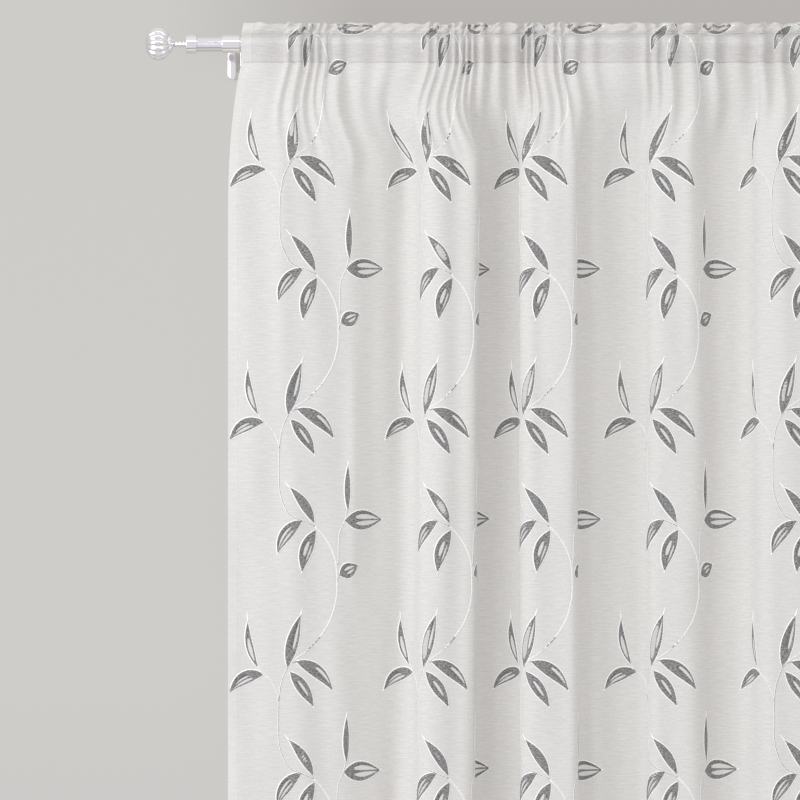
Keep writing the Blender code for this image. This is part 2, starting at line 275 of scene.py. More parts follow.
# %% Rows of the cloth
CLOTH = 0.0012
FRILL_PUFF = 0.0030
FRILL_UNEVEN = 0.0013
FRILL_CRUMPLE = 0.0016
HEADING_ROWS = 5
GATHERED_ROW = 0.005
GATHERED_TO = -0.300
HANGING_ROW = 0.0115


def slot_corners():
    """(height, depth) of the slot's front layer between its seams, where it leans on the pole."""
    seat = POLE_RADIUS + SLOT_EASE
    lean = math.acos(seat / SLOT_TOP)
    half_step = math.radians(SLOT_CORNER_STEP / 2)
    reach = seat / math.cos(half_step)
    angles = [lean + half_step * (2 * corner + 1) for corner in range(SLOT_CORNERS)]
    return [(reach * math.cos(angle), reach * math.sin(angle)) for angle in angles]


def frill_points(level, side):
    """The frill at a level, on its front (side -1) or its back (side 1), puffed and uneven along its top."""
    share = (level - SLOT_TOP) / (FRILL_TOP - SLOT_TOP)
    x, _ = walked(PLACES, GATHERED, HEADING_INSET + (FRILL_INSET - HEADING_INSET) * share)
    swell = FRILL_PUFF * (0.8 + 0.35 * np.sin(PLACES * 133 + 0.6))
    puff = CLOTH / 2 * (1 - share) + swell * math.sin(math.pi * min(1.0, share * 0.96)) ** 0.8
    points = level_points(x, (RIPPLE - MEAN) * (SEAM_SHARE + FRILL_SPREAD * share) + side * puff, level)
    points[:, 2] += share * FRILL_UNEVEN * (np.sin(PLACES * 83) + np.sin(PLACES * 211 + 1.0) - 0.4)
    points[:, 1] += share * FRILL_UNEVEN * np.sin(PLACES * 57 + 2.0)
    dents = np.sin(PLACES * 287 + 2.5 * math.sin(share * 5)) + np.sin(PLACES * 173 - 4.0 * share + 0.8)
    points[:, 1] += FRILL_CRUMPLE * math.sin(math.pi * min(1.0, share)) * dents
    points[:, 0] += FRILL_CRUMPLE * share * np.sin(PLACES * 119 + 0.3)
    return points


def heading_keys():
    """The strip's key rows from the lower seam up the back, over the top fold and down to the lower seam."""
    front = [level_points(HEADING_X, RIPPLE - depth, level) for level, depth in slot_corners()]
    back = [level_points(HEADING_X, depth - RIPPLE, level) for level, depth in slot_corners()]
    seam_back = level_points(HEADING_X, RIPPLE - MEAN - SEAM_FORWARD + CLOTH, SLOT_BOTTOM)
    seam_front = level_points(HEADING_X, RIPPLE - MEAN - SEAM_FORWARD, SLOT_BOTTOM)
    levels = [SLOT_TOP, (SLOT_TOP + FRILL_MIDDLE) / 2, FRILL_MIDDLE, (FRILL_MIDDLE + FRILL_TOP) / 2]
    frill_back = [frill_points(level, 1) for level in levels]
    frill_front = [frill_points(level, -1) for level in levels]
    top = frill_points(FRILL_TOP, 1)
    return [seam_back, *back[::-1], *frill_back, top, *frill_front[::-1], *front, seam_front]


def eased_rows(keys, between):
    """Rows along a smooth curve through the key rows (Catmull-Rom)."""
    rows = []
    ends = [2 * keys[0] - keys[1], *keys, 2 * keys[-1] - keys[-2]]
    for number in range(len(keys) - 1):
        a, b, c, d = ends[number : number + 4]
        for step in range(between):
            t = step / between
            rows.append(
                b + 0.5 * t * (c - a + t * (2 * a - 5 * b + 4 * c - d + t * (3 * b - 3 * c + d - a)))
            )
    return rows


keys = heading_keys()
heading = eased_rows(keys, HEADING_ROWS)
top_row = len(keys) // 2 * HEADING_ROWS
levels = list(np.arange(SLOT_BOTTOM, GATHERED_TO, -GATHERED_ROW))
hanging_rows = 1 + round((DROP - FRILL_TOP + GATHERED_TO) / HANGING_ROW)
levels += list(np.linspace(GATHERED_TO, FRILL_TOP - DROP, hanging_rows))
GRID = np.array(heading + [hanging_points(level) for level in levels])[:, ::KEEP_EVERY]
COLUMN_U = PLACES[::KEEP_EVERY]

row_steps = np.linalg.norm(np.diff(GRID, axis=0), axis=2)
row_steps = np.median(row_steps, axis=1)
row_steps[len(heading) :] = -np.diff(levels)
ROW_V = np.concatenate([[0.0], np.cumsum(row_steps)])
ROW_V -= ROW_V[top_row]
print(f"{GRID.shape[0]} rows and {GRID.shape[1]} columns, v from {ROW_V[0]:.3f} to {ROW_V[-1]:.3f} m")
print(f"the lower seam is {ROW_V[len(heading)]:.3f} m down the cloth")

# %% [markdown]
# Between its broad folds real cloth keeps smaller ones, where a gather above runs out or the cloth was
# folded in its packet. They are placed as soft ridges and troughs, a few millimetres high, along lines
# read from the photo. Under them the whole cloth wavers very slightly, so that no part of it is as
# smooth as a sheet of card.

# %% Ridges and troughs
Crease = namedtuple("Crease", "u top bottom half height lean")
# Where it is from the left edge, its upper and lower ends down the cloth, half its width, how far it
# stands out to the front (or in, if negative) and how far its lower end has moved to the right, all in
# millimetres
CREASES = [
    Crease(*row)
    for row in (
        (228, 95, 316, 9, 5.0, -4), (250, 90, 330, 15, -5.5, -8), (92, 110, 760, 16, 2.6, 6),
        (60, 95, 330, 10, 2.0, -10), (226, 560, 1120, 12, 2.6, 4), (150, 100, 420, 12, -3.0, 14),
        (176, 95, 300, 9, 3.2, 6), (130, 95, 280, 8, 3.4, -6), (322, 100, 420, 11, -3.0, 6),
        (436, 100, 360, 9, 2.6, 8), (700, 105, 900, 12, 2.2, 4), (742, 100, 380, 11, -2.6, -10),
        (858, 130, 620, 16, 2.2, -8), (905, 100, 460, 12, -2.4, 10), (1040, 110, 700, 16, 2.6, 10),
        (1130, 100, 520, 14, -3.0, -8), (1262, 120, 900, 16, 2.4, 6), (1350, 100, 400, 12, 2.6, -8),
    )
]
WAVER = 0.0009


def crease_heights(u, v):
    """How far the creases stand out, in metres, at flat u and v in metres."""
    total = np.zeros(np.broadcast(u, v).shape)
    for crease in CREASES:
        way = (v / MM - crease.top) / (crease.bottom - crease.top)
        along = np.clip(way, 0.0, 1.0)
        fade = smooth(along * 4) * smooth((1 - along) * 3)
        off = (u / MM - crease.u - crease.lean * along) / crease.half
        total += crease.height * MM * fade * np.exp(-off * off)
    return total


CREASES_FROM = 0.083
CREASES_FADE_IN = 0.040
below_seam = smooth((ROW_V - CREASES_FROM) / CREASES_FADE_IN)
waver = WAVER * (
    np.sin(COLUMN_U[None, :] * 61 + 2.3 * np.sin(ROW_V[:, None] * 7.1))
    + np.sin(COLUMN_U[None, :] * 97 - ROW_V[:, None] * 5.3 + 1.3)
    + 0.7 * np.sin(ROW_V[:, None] * 23 + 3 * np.sin(COLUMN_U[None, :] * 17))
)
GRID[..., 1] -= below_seam[:, None] * (crease_heights(COLUMN_U[None, :], ROW_V[:, None]) + waver)
print(len(CREASES), "creases, up to", max(abs(crease.height) for crease in CREASES), "mm")

# %% [markdown]
# Voile is a thin open cloth of fine yarns, with thicker slubs here and there in the weft, so light comes
# through it and it is a little denser along the slubs and where it is doubled in a hem. The yarns
# themselves, a third of a millimetre, would only flicker in a picture of the whole curtain, so the
# streaks here are a few millimetres high. The openness is the alpha: noise drawn out along the weft, plus
# the doubled cloth at the hems.

# %% Voile
SIDE_HEM = 0.018
BOTTOM_HEM = 0.050
HEM_SOFT = 0.0008
SLUB_LENGTH = 0.024
SLUB_HEIGHT = 0.0024
OPEN_ALPHA = 0.76
DENSE_ALPHA = 0.84
HEM_ALPHA = 0.90

voile, tree, shader = new_material("undyed polyester voile with slubs", roughness=0.92, sheen_weight=0.25)
shader.inputs["Sheen Roughness"].default_value = 0.5
shader.inputs["Specular IOR Level"].default_value = 0.2
flat_place = add_node(tree, "ShaderNodeUVMap", uv_map="cloth")


def streaks(tree, source, length, height, detail=3.0, roughness=0.6):
    """Noise drawn out to this length along the weft and height along the warp, in metres."""
    stretch = add_node(tree, "ShaderNodeMapping", [("Vector", source)])
    stretch.inputs["Scale"].default_value = (1 / length, 1 / height, 1.0)
    return add_node(tree, "ShaderNodeTexNoise", [("Vector", stretch.outputs[0])],
                    [("Scale", 1.0), ("Detail", detail), ("Roughness", roughness)]).outputs[0]


def ramp(tree, source, low, high, to_low=0.0, to_high=1.0):
    """A value from to_low to to_high as the source goes from low to high, and not beyond."""
    ends = [("From Min", low), ("From Max", high), ("To Min", to_low), ("To Max", to_high)]
    return add_node(tree, "ShaderNodeMapRange", [("Value", source)], ends).outputs[0]


def combine(tree, operation, first, second):
    """Two values by a maths operation. Either can be a plain number."""
    node = add_node(tree, "ShaderNodeMath", operation=operation)
    for socket, value in zip(node.inputs, (first, second)):
        if isinstance(value, (int, float)):
            socket.default_value = value
        else:
            tree.links.new(value, socket)
    return node.outputs[0]


place = flat_place.outputs[0]
slubs = streaks(tree, place, SLUB_LENGTH, SLUB_HEIGHT)
yarns = streaks(tree, place, 0.0026, 0.0060, detail=2.0)
parts = add_node(tree, "ShaderNodeSeparateXYZ", [("Vector", place)])
from_left = ramp(tree, parts.outputs["X"], SIDE_HEM, SIDE_HEM + HEM_SOFT, 1.0, 0.0)
from_right = ramp(tree, parts.outputs["X"], CLOTH_WIDTH - SIDE_HEM - HEM_SOFT, CLOTH_WIDTH - SIDE_HEM)
hem_start = float(ROW_V[-1]) - BOTTOM_HEM
at_hem = ramp(tree, combine(tree, "MULTIPLY", parts.outputs["Y"], -1.0), hem_start, hem_start + HEM_SOFT)
doubled = combine(tree, "MAXIMUM", combine(tree, "MAXIMUM", from_left, from_right), at_hem)
weave = combine(tree, "ADD", combine(tree, "MULTIPLY", slubs, 0.65), combine(tree, "MULTIPLY", yarns, 0.35))
single = ramp(tree, weave, 0.36, 0.64, OPEN_ALPHA, DENSE_ALPHA)
alpha = add_node(tree, "ShaderNodeMix", [("Factor", doubled), ("A", single)], [("B", HEM_ALPHA)],
                 data_type="FLOAT")
tree.links.new(alpha.outputs[0], shader.inputs["Alpha"])
tint = add_node(tree, "ShaderNodeMix", [("Factor", ramp(tree, weave, 0.35, 0.65))], data_type="RGBA")
tint.inputs[6].default_value = linear("#d1cfcb")
tint.inputs[7].default_value = linear("#dedcd8")
tree.links.new(tint.outputs[2], shader.inputs["Base Color"])
relief = add_node(tree, "ShaderNodeBump", [("Height", weave)], [("Strength", 0.25), ("Distance", 0.0006)])
tree.links.new(relief.outputs[0], shader.inputs["Normal"])
print(voile.name, len(tree.nodes), "nodes")

# %% [markdown]
# The cloth is one grid from bmesh, with as many rows and columns as the strip, and each point is put in
# its place on the folds. Its UV map is the flat cloth in metres, which the weave needs to run with the
# yarns however the cloth turns. A single layer is enough for a sheet as thin as this.

# %% The cloth
def add_grid(bm, rows, columns):
    """Adds a grid of this many rows and columns of points and gives the points as [row][column]."""
    made = bmesh.ops.create_grid(bm, x_segments=columns - 1, y_segments=rows - 1, size=0.5)["verts"]
    ordered = sorted(made, key=lambda vert: (-round(vert.co.y, 6), round(vert.co.x, 6)))
    return [ordered[row * columns : (row + 1) * columns] for row in range(rows)]


def lay_flat_uv(bm, flat_of):
    """The UV map "cloth" from each point's flat (u, v) in metres."""
    uv_layer = bm.loops.layers.uv.new("cloth")
    for face in bm.faces:
        for loop in face.loops:
            u, v = flat_of[loop.vert]
            loop[uv_layer].uv = (u, -v)


bm = bmesh.new()
flat_of = {}
for row, row_points in enumerate(add_grid(bm, *GRID.shape[:2])):
    for column, point in enumerate(row_points):
        point.co = GRID[row, column]
        flat_of[point] = (COLUMN_U[column], ROW_V[row])
lay_flat_uv(bm, flat_of)
bmesh.ops.recalc_face_normals(bm, faces=bm.faces)
if sum(face.normal.y for face in bm.faces) > 0:
    bmesh.ops.reverse_faces(bm, faces=bm.faces)
cloth = add_piece("voile_curtain", bm, voile)
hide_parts("curtain")

# %% [markdown]
# Whatever is woven into the cloth or stitched on it is placed by its flat u and v, and this finds that
# place on the folds. It reads between the grid's points, and the normal comes from the two directions of
# the grid there.

# %% Places on the cloth
def on_cloth(u, v):
    """Points of the hanging cloth at flat lengths u and v, which are arrays of one shape."""
    column = np.clip(np.interp(u, COLUMN_U, np.arange(len(COLUMN_U))), 0, len(COLUMN_U) - 1.001)
    row = np.clip(np.interp(v, ROW_V, np.arange(len(ROW_V))), 0, len(ROW_V) - 1.001)
    c, r = column.astype(int), row.astype(int)
    across, down = (column - c)[..., None], (row - r)[..., None]
    upper = GRID[r, c] * (1 - across) + GRID[r, c + 1] * across
    lower = GRID[r + 1, c] * (1 - across) + GRID[r + 1, c + 1] * across
    return upper * (1 - down) + lower * down


print("the middle of the cloth is at", on_cloth(np.array([0.7]), np.array([0.9])).round(3))

# %% [markdown]
# The leaves and vine are a second weft of thick yarn, woven in where the pattern shows and cut away
# elsewhere, with a white edge round a grey filling. They could be painted into the cloth's colour, but
# their outline is only two millimetres wide on a cloth of nearly two metres, so each leaf is a strip of
# faces laid on the folds. The chart is drawn from the photo: a leaf's root and tip, its width,
# how far its middle bows to the left as seen from root to tip, its white spike, and the open windows in
# its filling. Lengths are in millimetres from the knot where the vine's leaves meet.

# %% Chart of the vine
Leaf = namedtuple("Leaf", "root tip width bow spike windows")
# A window is (place across, half width, from, to). The first two are shares of the leaf's half width,
# positive to the left of the way to the tip, and the other two are shares of its length.
LEAVES = [
    Leaf((-55, -2), (-72, -81), 12.6, 6, 18, [(0.05, 0.56, 0.08, 0.68)]),
    Leaf((-44, 13), (-104, 44), 22.6, -10, 5, [(-0.05, 0.16, 0.34, 0.80), (0.50, 0.22, 0.22, 0.94)]),
    Leaf((0, -1), (23, -92), 21.6, 2, 15, [(-0.38, 0.24, 0.30, 0.96)]),
    Leaf((16, -10), (82, 41), 23.0, 9, 5, [(0.38, 0.26, 0.36, 0.92)]),
    Leaf((5, 9), (47, 70), 21.6, 3, 5, [(0.04, 0.24, 0.22, 0.78)]),
    Leaf((47, 193), (4, 131), 17.0, -4, 14, []),
    Leaf((25, 190), (-18, 247), 22.6, -8, 5, [(0.42, 0.18, 0.28, 0.95), (-0.22, 0.20, 0.26, 0.95)]),
    Leaf((50, 208), (26, 280), 23.5, -5, 5, [(-0.10, 0.28, 0.26, 0.70), (0.56, 0.14, 0.30, 0.80)]),
    Leaf((110, 171), (110, 91), 11.0, 1, 10, []),
    Leaf((105, 190), (176, 189), 35.0, 0, 6, [(0.36, 0.27, 0.22, 0.96), (-0.34, 0.27, 0.28, 0.94)]),
    Leaf((95, 288), (129, 271), 27.0, 0, 5, [(0.30, 0.20, 0.28, 0.86), (-0.30, 0.18, 0.34, 0.80)]),
]
# The stems, as points they pass smoothly through, and the widths of their white yarns together and of the
# grey one between them.
Stem = namedtuple("Stem", "points white grey")
STEMS = [
    Stem([(0, 1), (-10, 25), (-15, 59), (-16, 105), (-13, 144), (2, 178), (25, 190), (49, 200)], 1.9, 1.1),
    Stem([(49, 200), (68, 220), (82, 245), (89, 270), (91, 302), (89, 333), (79, 367), (60, 398), (38, 422)],
         2.7, 0.5),
    Stem([(38, 422), (10, 441), (0, 452)], 2.4, 0.6),
    Stem([(60, 398), (48, 411), (38, 420)], 0.8, 2.0),
    Stem([(93, 270), (94, 221), (97, 207), (104, 192), (109, 172)], 1.9, 0.9),
    Stem([(-55, -2), (-49, 5), (-44, 13), (-30, 23), (-18, 47), (-16, 61)], 2.2, 0.7),
    Stem([(0, 0), (9, -9), (16, -10)], 1.4, 1.4),
    Stem([(91, 300), (93, 292), (96, 287)], 1.4, 1.0),
]
ACROSS = 0.2885
DOWN = 0.452
FIRST_KNOT = (0.108, -0.183)
print(len(LEAVES), "leaves and", len(STEMS), "stems in each repeat")

# %% [markdown]
# One function lays any strip on the cloth: a grid made flat, in u and v, whose points are then put in
# their places on the folds. What falls beyond the cloth's edges is cut off, as the scissors cut the
# pattern there.

# %% Strips on the cloth
Strips = namedtuple("Strips", "bm flat_of")
EDGE_U = (0.003, CLOTH_WIDTH - 0.003)
EDGE_V = (float(ROW_V[0]) + 0.004, float(ROW_V[-1]) - 0.004)


def new_strips():
    return Strips(bmesh.new(), {})


def lay_strip(strips, flat, materials, skipped=()):
    """Adds a strip from flat[row][column] = (u, v), with a material for each lane between two columns.

    It leaves out the skipped (row, lane) faces and those beyond the cloth.
    """
    rows, columns = flat.shape[:2]
    points = add_grid(strips.bm, rows, columns)
    spots = on_cloth(flat[..., 0], flat[..., 1])
    inside = (flat[..., 0] > EDGE_U[0]) & (flat[..., 0] < EDGE_U[1])
    inside &= (flat[..., 1] > EDGE_V[0]) & (flat[..., 1] < EDGE_V[1])
    unwanted = []
    for row in range(rows):
        for column in range(columns):
            point = points[row][column]
            point.co = spots[row, column]
            strips.flat_of[point] = tuple(flat[row, column])
    for row in range(rows - 1):
        for lane in range(columns - 1):
            shared = set(points[row][lane].link_faces) & set(points[row + 1][lane + 1].link_faces)
            face = shared.pop()
            face.material_index = materials[lane]
            if (row, lane) in skipped or not inside[row : row + 2, lane : lane + 2].all():
                unwanted.append(face)
    bmesh.ops.delete(strips.bm, geom=unwanted, context="FACES")


def smooth_line(corners, step):
    """Points about step apart along a smooth curve through the corners."""
    corners = np.array(corners, float)
    line = np.array([*eased_rows(list(corners), 12), corners[-1]])
    ways = np.concatenate([[0.0], np.cumsum(np.linalg.norm(np.diff(line, axis=0), axis=1))])
    even = np.linspace(0.0, ways[-1], max(3, round(ways[-1] / step)))
    return np.stack([np.interp(even, ways, line[:, axis]) for axis in (0, 1)], axis=1)


def left_of(line):
    """Unit lengths to the left of a line's way, in flat u and v."""
    way = np.gradient(line, axis=0)
    way /= np.linalg.norm(way, axis=1)[:, None]
    return np.stack([way[:, 1], -way[:, 0]], axis=1)


GREY, WHITE = 0, 1
OUTLINE = 1.9
THREAD = 0.12


def leaf_strip(leaf, rows=15):
    """A leaf's flat strip in millimetres from the knot, its lanes' materials and its windows' faces."""
    root, tip = np.array(leaf.root, float), np.array(leaf.tip, float)
    share = np.linspace(0.0, 1.0, rows)
    way = (tip - root) / np.linalg.norm(tip - root)
    left = np.array([way[1], -way[0]])
    spine = root + np.outer(share, tip - root) + np.outer(4 * leaf.bow * share * (1 - share), left)
    half = leaf.width / 2 * np.maximum(0.03, np.sin(math.pi * share**0.88)) ** 0.85
    lanes = [-(half + OUTLINE), -half]
    skipped = []
    windows = sorted(leaf.windows)
    for number, (across, reach, start, end) in enumerate(windows):
        inside = np.clip((share - start) / (end - start), 0.0, 1.0)
        spread = np.maximum(THREAD, reach * half * np.sin(math.pi * inside) ** 0.5)
        lanes += [across * half - spread, across * half + spread]
        open_rows = [row for row in range(rows - 1) if start <= share[row] and share[row + 1] <= end]
        skipped += [(row, 2 * number + 2) for row in open_rows]
    offsets = np.sort(np.stack([*lanes, half, half + OUTLINE], axis=1), axis=1)
    across = left_of(spine)
    flat = spine[:, None, :] + offsets[..., None] * across[:, None, :]
    return flat, [WHITE] + [GREY] * (offsets.shape[1] - 3) + [WHITE], skipped


def spike_strip(leaf):
    """The white point that a leaf ends in."""
    root, tip = np.array(leaf.root, float), np.array(leaf.tip, float)
    way = (tip - root) / np.linalg.norm(tip - root)
    left = np.array([way[1], -way[0]])
    bend = way - left * 4 * leaf.bow / np.linalg.norm(tip - root) * 0.5
    line = tip + np.outer(np.linspace(-0.5, leaf.spike, 5), bend / np.linalg.norm(bend))
    half = np.linspace(OUTLINE, 0.5, 5)
    return line[:, None, :] + np.stack([-half, half], axis=1)[..., None] * left_of(line)[:, None, :]


def stem_strip(stem):
    """A stem's flat strip: a thin grey yarn between two white ones."""
    line = smooth_line(stem.points, 6.0)
    outer, inner = (stem.white + stem.grey) / 2, stem.grey / 2
    offsets = np.array([-outer, -inner, inner, outer])
    return line[:, None, :] + offsets[None, :, None] * left_of(line)[:, None, :]


leaves, vine = new_strips(), new_strips()
spots = [(column, row) for column in range(-1, 6) for row in range(5)]
for column, row in spots:
    knot = np.array((FIRST_KNOT[0] + column * ACROSS, FIRST_KNOT[1] + row * DOWN))
    for leaf in LEAVES:
        flat, lanes, skipped = leaf_strip(leaf)
        lay_strip(leaves, knot + flat * MM, lanes, skipped)
        lay_strip(leaves, knot + spike_strip(leaf) * MM, [WHITE])
    for stem in STEMS:
        lay_strip(vine, knot + stem_strip(stem) * MM, [WHITE, GREY, WHITE])
print(len(spots), "repeats,", len(leaves.bm.faces), "leaf faces,", len(vine.bm.faces), "vine faces")

# %% [markdown]
# The filling yarn is a twist of a dark and a pale grey, so the leaves look speckled, in short lines along
# the weft. The outline and the vine are a bright white yarn.

# %% Yarns, and the woven pattern as pieces
YARN = 0.0007


def yarn_material(name, dark, pale):
    """A matt twisted yarn: short streaks along the weft from a dark to a pale colour."""
    material, tree, shader = new_material(name, roughness=0.85, sheen_weight=0.15)
    place = add_node(tree, "ShaderNodeUVMap", uv_map="cloth").outputs[0]
    speckle = ramp(tree, streaks(tree, place, 0.0042, 0.0020, detail=2.0), 0.36, 0.66)
    colour = add_node(tree, "ShaderNodeMix", [("Factor", speckle)], data_type="RGBA")
    colour.inputs[6].default_value = linear(dark)
    colour.inputs[7].default_value = linear(pale)
    tree.links.new(colour.outputs[2], shader.inputs["Base Color"])
    return material


grey_yarn = yarn_material("grey twisted polyester yarn", "#535352", "#a3a2a0")
white_yarn = yarn_material("white polyester yarn", "#f2f1ef", "#fbfaf8")


def finish_strips(strips, name, thickness, *materials):
    """The strips as a piece with a yarn's thickness."""
    lay_flat_uv(strips.bm, strips.flat_of)
    bmesh.ops.recalc_face_normals(strips.bm, faces=strips.bm.faces)
    piece = add_piece(name, strips.bm, *materials)
    thick = piece.modifiers.new("yarn", "SOLIDIFY")
    thick.thickness = thickness
    thick.offset = 0.0
    return piece


woven_leaves = finish_strips(leaves, "woven_leaves", YARN, grey_yarn, white_yarn)
woven_vine = finish_strips(vine, "woven_vine", YARN, grey_yarn, white_yarn)

# %% [markdown]
# The heading is held by two rows of lock stitches and the hems by one each. A stitch is three millimetres
# of thread on top of the cloth, and the thread then dips through to the back, so a row of short raised
# threads is all that shows. A bump texture would do from afar, but close to it would have no thickness.
# In the photo the heading's rows show as small dark marks, where each stitch sits in the dent that it pulls.
# That shade is painted into the heading thread's colour, which is darker than the hem thread.

# %% Stitches
STITCH_PITCH = 4.0
STITCH_LENGTH = 3.1
STITCH_HALF = 0.28
STITCH_THREAD = 0.0006


def stitch_row(strips, start, end):
    """Adds stitches along a straight flat line from start to end, in millimetres of u and v."""
    start, end = np.array(start, float), np.array(end, float)
    span = np.linalg.norm(end - start)
    way = (end - start) / span
    side = np.array([way[1], -way[0]])
    for number in range(int(span / STITCH_PITCH)):
        middle = start + way * STITCH_PITCH * (number + 0.5)
        line = middle + np.outer([-STITCH_LENGTH / 2, 0.0, STITCH_LENGTH / 2], way)
        lay_strip(strips, (line[:, None, :] + np.outer([-STITCH_HALF, STITCH_HALF], side)[None]) * MM, [0])


def thread_material(name, colour):
    """Smooth spun thread with its slight shine."""
    material, _, shader = new_material(name, roughness=0.6, base_color=linear(colour))
    shader.inputs["Specular IOR Level"].default_value = 0.4
    return material


FRONT_SEAM = float(ROW_V[len(heading)]) / MM
UPPER_SEAM = float(ROW_V[top_row + 4 * HEADING_ROWS]) / MM
SEAM_SIDE = (3.0, CLOTH_WIDTH / MM - 3.0)
FOOT = float(ROW_V[-1] - BOTTOM_HEM) / MM + 2.0
seams, hems = new_strips(), new_strips()
for v in (UPPER_SEAM, FRONT_SEAM - 1.0):
    stitch_row(seams, (SEAM_SIDE[0], v), (SEAM_SIDE[1], v))
stitch_row(hems, (SEAM_SIDE[0], FOOT), (SEAM_SIDE[1], FOOT))
for u in (SIDE_HEM / MM - 1.5, (CLOTH_WIDTH - SIDE_HEM) / MM + 1.5):
    stitch_row(hems, (u, FRONT_SEAM + 3.0), (u, float(ROW_V[-1]) / MM - 3.0))
# The heading thread's greyer colour is painted shade of the dents that its stitches pull.
seam_thread_with_painted_shade = thread_material("seam thread darkened with painted dent shade", "#a49d96")
seam_stitches = finish_strips(seams, "heading_stitches", STITCH_THREAD, seam_thread_with_painted_shade)
hem_thread = thread_material("white sewing thread", "#e6e4df")
hem_stitches = finish_strips(hems, "hem_stitches", STITCH_THREAD, hem_thread)
print(f"the seams are {UPPER_SEAM:.1f} and {FRONT_SEAM:.1f} mm down the cloth")

# %% [markdown]
# The pole is a thin steel tube, and its finials are spun and cast parts with the same plating. All of
# them are turned shapes, so each is a profile spun round the pole's axis. The profile runs along the
# outside, and small rounded rims stand for the tool marks' softened edges, as a perfectly sharp edge
# would catch no light.

# %% Turned metal
def turned_bmesh(profile, steps):
    """A surface turned round the X axis from (x, radius) points in millimetres."""
    bm = bmesh.new()
    line = [bmesh.ops.create_vert(bm, co=(x * MM, 0.0, radius * MM))["vert"][0] for x, radius in profile]
    edges = [bm.edges.new(pair) for pair in zip(line, line[1:])]
    bmesh.ops.spin(bm, geom=line + edges, cent=(0, 0, 0), axis=(1, 0, 0), dvec=(0, 0, 0), angle=math.tau,
                   steps=steps, use_merge=True)
    bmesh.ops.remove_doubles(bm, verts=bm.verts, dist=0.000001)
    bmesh.ops.recalc_face_normals(bm, faces=bm.faces)
    return bm


def rim(x, radius, out, size=0.9, points=4):
    """A rounded outer edge at x that faces out (-1 or 1), as points from its flat face to its side."""
    turns = [math.pi / 2 * number / points for number in range(points + 1)]
    return [(x - out * size * (1 - math.cos(t)), radius - size * (1 - math.sin(t))) for t in turns]


def place_bmesh(bm, x, out=1):
    """Moves a turned shape to x on the pole's axis. With out = -1 it is turned round to face left."""
    if out < 0:
        bmesh.ops.rotate(bm, verts=bm.verts, cent=(0, 0, 0), matrix=Matrix.Rotation(math.pi, 3, "Z"))
    bmesh.ops.translate(bm, verts=bm.verts, vec=(x, AXIS_Y, 0.0))
    return bm


def plated(name, colour, low, high, scale):
    """Polished plating whose roughness drifts a little, as handled metal's does."""
    material, tree, shader = new_material(name, base_color=linear(colour), metallic=1.0)
    where = add_node(tree, "ShaderNodeTexCoord").outputs["Object"]
    drift = add_node(tree, "ShaderNodeTexNoise", [("Vector", where)], [("Scale", scale), ("Detail", 3.0)])
    tree.links.new(ramp(tree, drift.outputs[0], 0.35, 0.65, low, high), shader.inputs["Roughness"])
    return material


tube_metal = plated("satin nickel-plated tube", "#eceaf0", 0.09, 0.14, 60.0)
chrome = plated("polished chrome plating", "#f4f2f4", 0.06, 0.12, 45.0)

TUBE_WALL = 1.2
half_tube = (pole_high.x - pole_low.x) / 2 / MM
radius = POLE_RADIUS / MM
bore = radius - TUBE_WALL
profile = [(-half_tube, bore), *rim(-half_tube, radius, -1, 0.3, 2), *rim(half_tube, radius, 1, 0.3, 2)[::-1],
           (half_tube, bore), (-half_tube, bore)]
tube = add_piece("tube", place_bmesh(turned_bmesh(profile, 96), MIDDLE_X), tube_metal, sharp_angle=40)
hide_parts("pole")

# %% [markdown]
# Each finial pushes over the tube's end: a short cap, a neck turned as three beads, and a hollow ball
# pressed with ribs, which stands in a little crown of petals. The ribs are lobes with a sharp groove
# between them, like a melon's, so the spun ball is drawn in towards its axis at each groove. A texture of
# ribs would leave the ball's outline round, and the photo shows it notched.

# %% Finials
def cap_profile():
    """(x, radius) from the cap's open end to the neck's end."""
    points = [(12.3, 0.0), (12.3, 14.3), (0.0, 14.3), *rim(0.0, 17.25, -1, 1.0)]
    points += [*rim(19.5, 17.25, 1, 1.0)[::-1], (19.5, 6.2), (20.2, 5.0)]
    for bead in range(3):
        start = 20.4 + bead * 7.0
        for step in range(9):
            points.append((start + 6.6 * step / 8, 4.4 + 2.3 * math.sin(math.pi * step / 8) ** 0.7))
    return points + [(41.0, 4.6), (41.0, 0.0)]


def crown_and_ball(steps_per_rib=10, ribs=14, petals=7):
    """The ribbed ball on its crown, with the crown's foot at x = 0."""
    half, across, centre, crown = 24.0, 30.0, 28.4, 8.0
    last = math.acos((crown + 0.6 - centre) / half)
    ball = [(centre + half * math.cos(a), across * math.sin(a)) for a in np.linspace(0.0, last, 40)]
    ball[0] = (ball[0][0], 0.0)
    foot = [(crown, 17.0), (7.2, 16.9), (4.6, 14.8), (2.0, 12.6), (0.8, 9.0), (0.0, 6.5), (0.0, 0.0)]
    bm = turned_bmesh(ball + foot, ribs * steps_per_rib)
    for vert in bm.verts:
        around = math.atan2(vert.co.z, vert.co.y)
        groove = 1 - abs(math.cos(around * ribs / 2)) ** 0.8
        petal = 1 - abs(math.cos(around * petals / 2)) ** 0.9
        on_ball = vert.co.x > (crown + 0.3) * MM
        keep = 1 - (0.11 * groove if on_ball else 0.12 * petal)
        vert.co.y *= keep
        vert.co.z *= keep
    return bm


for side, end, out in (("left", LEFT_X, -1), ("right", RIGHT_X, 1)):
    cap = place_bmesh(turned_bmesh(cap_profile(), 80), end + out * 61.5 * MM, out)
    cap = add_piece(f"cap_{side}", cap, chrome, sharp_angle=45)
    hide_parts(f"finial_cap_{side}")
    ball = place_bmesh(crown_and_ball(), end + out * 102.8 * MM, out)
    ball = add_piece(f"ribbed_ball_{side}", ball, chrome, sharp_angle=50)
    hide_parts(f"finial_ball_{side}")

# %% [markdown]
# A bracket holds the pole in a short sleeve at the end of an arm, and a long domed plate covers its
# screws on the wall. It is one casting, so its three shapes share a mesh and one plating.

